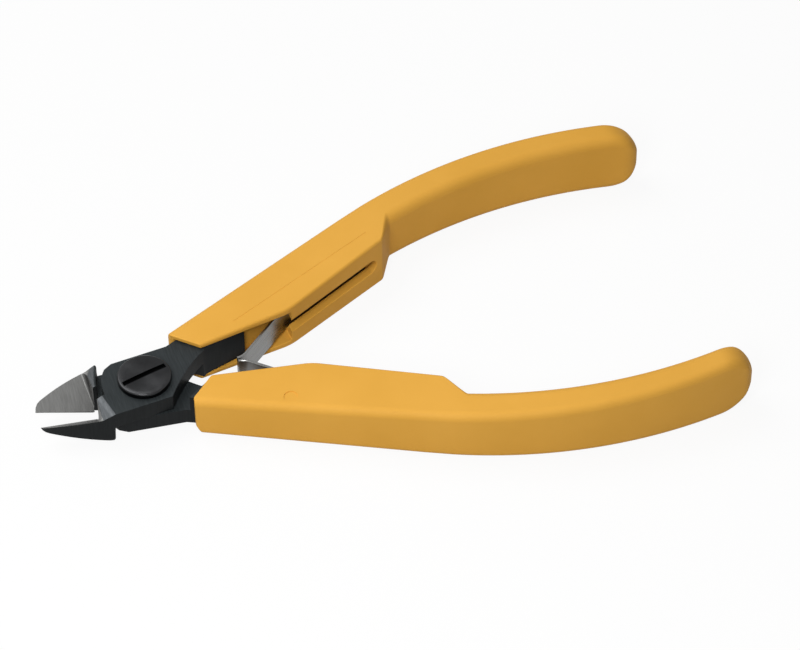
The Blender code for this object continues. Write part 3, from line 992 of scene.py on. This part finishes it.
def spring_steel():
    """Bright rolled strip with faint lines along it."""
    nodes = Nodes("spring_strip")
    lines = nodes.noise(nodes.coordinates(STRIP_LINES), scale=1, detail=2)
    nodes.color(nodes.ramp(lines, low=0.3, high=0.75, colors=STRIP_GREYS))
    nodes.roughness(nodes.between(lines, low=0.24, high=0.32))
    nodes.bump(lines, strength=0.03, distance=0.00001)
    nodes.set(Metallic=1.0)
    return nodes.mat


# Stage


def camera():
    """The photograph's camera, a long lens looking down across the tool."""
    azimuth = math.radians(CAMERA_AZIMUTH)
    elevation = math.radians(CAMERA_ELEVATION)
    level = math.cos(elevation)
    back = Vector((math.sin(azimuth) * level, -math.cos(azimuth) * level, math.sin(elevation)))
    data = bpy.data.cameras.new("camera")
    data.sensor_width = SENSOR_WIDTH
    data.lens = SENSOR_WIDTH * FOCAL_PIXELS / IMAGE_WIDTH
    data.clip_start = CAMERA_NEAR
    data.clip_end = CAMERA_FAR
    item = bpy.data.objects.new("camera", data)
    bpy.context.scene.collection.objects.link(item)
    item.location = CAMERA_TARGET + back * CAMERA_DISTANCE
    look = (-back).to_track_quat("-Z", "Y").to_matrix().to_4x4()
    turn = look @ Matrix.Rotation(math.radians(CAMERA_ROLL), 4, "Z")
    item.rotation_euler = turn.to_euler()
    bpy.context.scene.camera = item


def background_rays(tree):
    """1 for rays that see the stage, straight or in metal, and 0 for those by which it lights the tool."""
    paths = tree.nodes.new("ShaderNodeLightPath")
    seen = paths.outputs["Is Camera Ray"]
    for kind in ("Is Glossy Ray", "Is Transmission Ray"):
        either = tree.nodes.new("ShaderNodeMath")
        either.operation = "MAXIMUM"
        tree.links.new(seen, either.inputs[0])
        tree.links.new(paths.outputs[kind], either.inputs[1])
        seen = either.outputs[0]
    return seen


def floor_white():
    """A grey that takes the shadow, mostly hidden behind a white glow where it is seen."""
    nodes = Nodes("floor_white")
    nodes.set(Base_Color=FLOOR_COLOR, Roughness=FLOOR_ROUGHNESS)
    glow = nodes.add("Emission")
    glow.inputs["Strength"].default_value = FLOOR_GLOW
    share = nodes.add("Math", operation="MULTIPLY")
    share.inputs[1].default_value = FLOOR_GLOW_SHARE
    nodes.link(background_rays(nodes.tree), share.inputs[0])
    mix = nodes.add("MixShader")
    nodes.link(share.outputs[0], mix.inputs["Fac"])
    nodes.link(nodes.shader.outputs["BSDF"], mix.inputs[1])
    nodes.link(glow.outputs["Emission"], mix.inputs[2])
    nodes.link(mix.outputs["Shader"], nodes.tree.nodes["Material Output"].inputs["Surface"])
    return nodes.mat


def floor():
    """A white floor that keeps a faint shadow."""
    bm = bmesh.new()
    bmesh.ops.create_grid(bm, x_segments=2, y_segments=2, size=FLOOR_REACH)
    item = object_from("floor", bm, Matrix.Translation((0, 0, -FLOOR_DROP)))
    item.data.materials.append(floor_white())


def world():
    """White where it is seen, and a dimmer white that lights the tool."""
    made = bpy.data.worlds.new("studio")
    made.use_nodes = True
    tree = made.node_tree
    background = tree.nodes["Background"]
    background.inputs["Color"].default_value = WORLD_COLOR
    level = tree.nodes.new("ShaderNodeMapRange")
    level.inputs["To Min"].default_value = WORLD_LIGHT
    level.inputs["To Max"].default_value = WORLD_SEEN
    tree.links.new(background_rays(tree), level.inputs["Value"])
    tree.links.new(level.outputs["Result"], background.inputs["Strength"])
    bpy.context.scene.world = made


def soft_box(name, place, aim, size, power):
    """A square area light."""
    data = bpy.data.lights.new(name, "AREA")
    data.size = size
    data.energy = power
    item = bpy.data.objects.new(name, data)
    bpy.context.scene.collection.objects.link(item)
    item.location = place
    item.rotation_euler = (aim - place).to_track_quat("-Z", "Y").to_euler()


def lights():
    """A key light on the camera's side, to reach into the grips' slots, and one high behind the head."""
    soft_box("key", KEY_PLACE, KEY_AIM, KEY_SIZE, KEY_POWER)
    soft_box("overhead", OVERHEAD_PLACE, OVERHEAD_AIM, OVERHEAD_SIZE, OVERHEAD_POWER)


def main():
    """Dress the frame's nodes and set the stage round them."""
    plastic = grip_plastic()
    strip = spring_steel()
    bright = ground_steel("bright_ground", BRIGHT_GREYS)
    filmed = ground_steel("filmed_ground", FILMED_GREYS)
    steel = [oxide_steel(), bright, filmed]
    for half, node, side in (("upper", "top_lever", 1), ("lower", "bottom_lever", -1)):
        grip(half, side, plastic)
        leaf(half, side, strip)
        lever(node, half, side, steel)
    screw(turned_steel())
    camera()
    floor()
    world()
    lights()
    bpy.context.scene.view_settings.view_transform = "Standard"


main()
